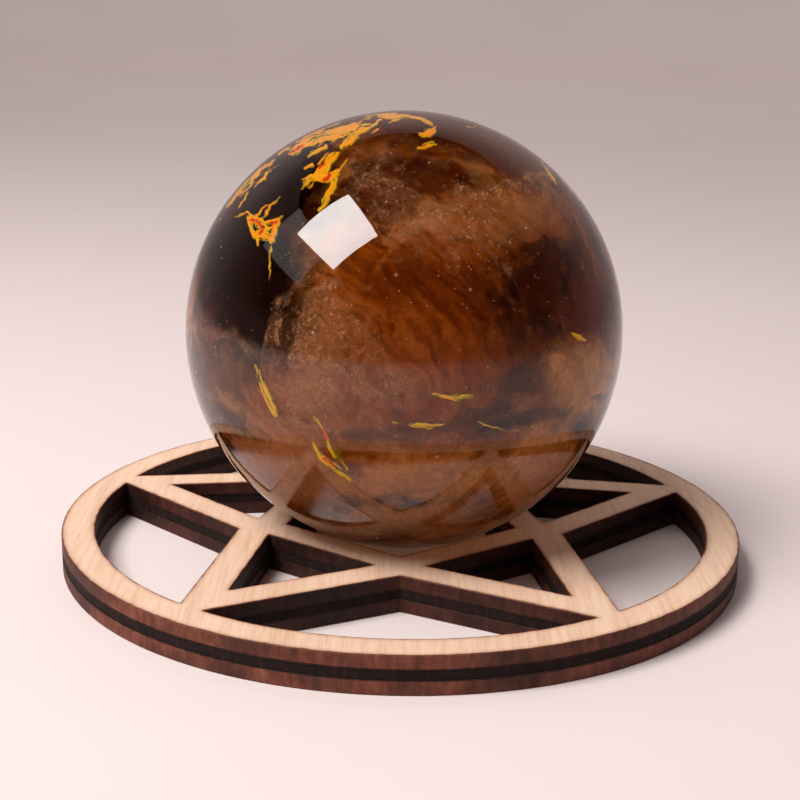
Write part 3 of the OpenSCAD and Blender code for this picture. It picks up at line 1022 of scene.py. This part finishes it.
def make_stand():
    face_wood, core_wood, glue = make_face_wood(), make_core_wood(), make_glue()
    for name, node, recess, material, slot in (
            ("bottom_ply", "bottom_veneer", 0.03, face_wood, "face_veneer"),
            ("core_ply", "core_veneer", 0.09, core_wood, "core_veneer"),
            ("top_ply", "top_veneer", 0.03, face_wood, "face_veneer")):
        low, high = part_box(node)
        ply = veneer_mesh(name, low.z / MM, high.z / MM, recess)
        ply.data.materials.append(material)
        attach(ply, "stand")
        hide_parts(node)
    for node in ("upper_glue_film", "lower_glue_film"):
        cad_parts[node].data.materials.clear()
        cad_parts[node].data.materials.append(glue)


# ---- the studio
STUDIO_R = 1.3
COVE_R = 0.7
WALL_TOP = 2.2
STUDIO_SIDES = 96
FLOOR_RINGS = 30
COVE_RINGS = 24
FLOOR_GAP = 0.00005


def studio_paint_with_painted_shade():
    """Pale paint with painted shade: darker up the wall everywhere but at the back."""
    m = Material("pale_paint_painted_shade", Roughness=0.6, Specular_IOR_Level=0.2)
    tone = m.ramp(m.noise(6, detail=3), [(0.3, srgb(226, 213, 211)), (0.7, srgb(230, 217, 215))])
    at = m.node("SeparateXYZ", {"Vector": m.place()}).outputs
    # Painted shade: darker up the wall, to 0.12 of the paint's colour from half a metre up; towards the back
    # it stays pale.
    shade = m.grey(at["Z"], [(0.0, 1.0), (0.5, 0.12)])
    behind = m.maths("MULTIPLY_ADD", at["Y"], 0.5, 0.5, clamp=True)
    shade = m.blend("MIX", m.grey(behind, [(0.30, 0.0), (0.95, 1.0)]), shade, (1, 1, 1))
    m.set("Base Color", m.blend("MULTIPLY", 1.0, tone, shade))
    return m.material


def make_studio():
    """A pale floor that curves up into a wall all round, far from the ball. The wall carries painted shade,
    darker towards its top except at the back.
    """
    n = STUDIO_SIDES
    turn = np.linspace(0, math.pi / 2, COVE_RINGS)[1:]
    out = [*np.linspace(0.02, STUDIO_R, FLOOR_RINGS), *(STUDIO_R + COVE_R * np.sin(turn)), STUDIO_R + COVE_R]
    rise = [*np.zeros(FLOOR_RINGS), *(COVE_R * (1 - np.cos(turn))), WALL_TOP]
    around = np.arange(n) * 2 * math.pi / n
    rings = np.stack([np.outer(out, np.cos(around)), np.outer(out, np.sin(around)),
                      np.repeat(np.asarray(rise)[:, None], n, 1) - FLOOR_GAP], -1).reshape(-1, 3)
    i, j = np.meshgrid(np.arange(len(out) - 1), np.arange(n), indexing="ij")
    here, beside = (i * n + j).ravel(), (i * n + (j + 1) % n).ravel()
    quads = [tuple(q) for q in np.stack([here, here + n, beside + n, beside], 1)]
    floor = mesh_piece("floor", rings, quads + [tuple(range(n))])
    floor.data.materials.append(studio_paint_with_painted_shade())


# Where the two lights are that the ball mirrors: so far from its centre, this way
KEY_AT = BALL_CENTRE + 0.60 * np.array([-0.500, -0.312, 0.808])
CARD_AT = BALL_CENTRE + 0.75 * np.array([-0.766, -0.17, 0.62])


def add_light(name, at, aim, size, radiance, side):
    """A flat soft light; side is the way that its first dimension runs."""
    light = bpy.data.lights.new(name, "AREA")
    light.shape = "RECTANGLE"
    light.size, light.size_y = size
    light.color = (1, 0.96, 0.94)
    light.energy = radiance * math.pi * size[0] * size[1]
    lamp = bpy.data.objects.new(name, light)
    away = unit(np.subtract(at, aim))
    side = unit(side - away * (np.asarray(side) @ away))
    turned = np.stack([side, np.cross(away, side), away], 1)
    lamp.matrix_world = Matrix(turned).to_4x4()
    lamp.location = Vector(at)
    bpy.context.scene.collection.objects.link(lamp)
    return lamp


def make_lights():
    key = add_light("key_softbox", KEY_AT, BALL_CENTRE,
                    size=(0.32, 0.275), radiance=9.344, side=(0.328, -0.937, -0.12))
    key.data.spread = math.radians(135)
    add_light("fill_card", CARD_AT, BALL_CENTRE, size=(0.26, 0.44), radiance=0.9, side=(0.62, 0, 0.766))
    back = add_light("back_light", (0, 0.8, 1.4), (0, 2, 0.1), size=(2.0, 0.6), radiance=2.5, side=(1, 0, 0))
    back.visible_glossy = False


def make_world():
    """Dim even light from all round, which the ball doesn't mirror."""
    world = bpy.data.worlds.new("studio")
    bpy.context.scene.world = world
    world.use_nodes = True
    world.node_tree.nodes["Background"].inputs["Color"].default_value = (0.30, 0.275, 0.275, 1)
    world.cycles_visibility.glossy = False


def make_camera():
    data = bpy.data.cameras.new("camera")
    data.lens = CAMERA_LENS_MM
    data.clip_start = 0.01
    camera = bpy.data.objects.new("camera", data)
    camera.location = CAMERA_AT
    camera.rotation_euler = Vector(CAMERA_AIM - CAMERA_AT).to_track_quat("-Z", "Y").to_euler()
    camera.rotation_euler.rotate_axis("Z", CAMERA_ROLL)
    bpy.context.scene.collection.objects.link(camera)
    bpy.context.scene.camera = camera


# ---- everything together
make_camera()
make_studio()
make_world()
make_lights()
bpy.context.scene.view_settings.view_transform = "Standard"

make_stand()

glass, heart, smoke, veils = make_glass(), make_heart(), make_smoke(), make_veils()
flame_glass = make_flame_material()
band = make_flame("flame_band", [(FRONT, BAND_FRONT), (LEFT_BACK, BAND_BACK)], 0.60, flame_glass)
star = make_flame("flame_star", [(FRONT, STAR_FRONT)], 0.64, flame_glass)
tails = make_flame("flame_tails", [(FRONT, TAILS_FRONT), (RIGHT_BACK, TAILS_BACK)], 0.44, flame_glass)
threads = make_flame("gold_threads", [(FRONT, THREADS_FRONT)], 0.42, flame_glass)
for piece, node, slot in (
        (glass, "ball", "clear_glass"),
        (heart, "amber_cloud", "amber_glass"),
        (smoke, "smoke_swirls", "smoke_glass"),
        (veils, "milky_veils", "milky_glass"),
        (band, "flame_band", "flame_glass"),
        (star, "flame_star", "star_glass"),
        (tails, "flame_tails", "tail_glass"),
        (threads, "gold_threads", "gold_glass")):
    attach(piece, "crystal_ball")
    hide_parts(node)

specks = make_specks()
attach(specks, "crystal_ball")
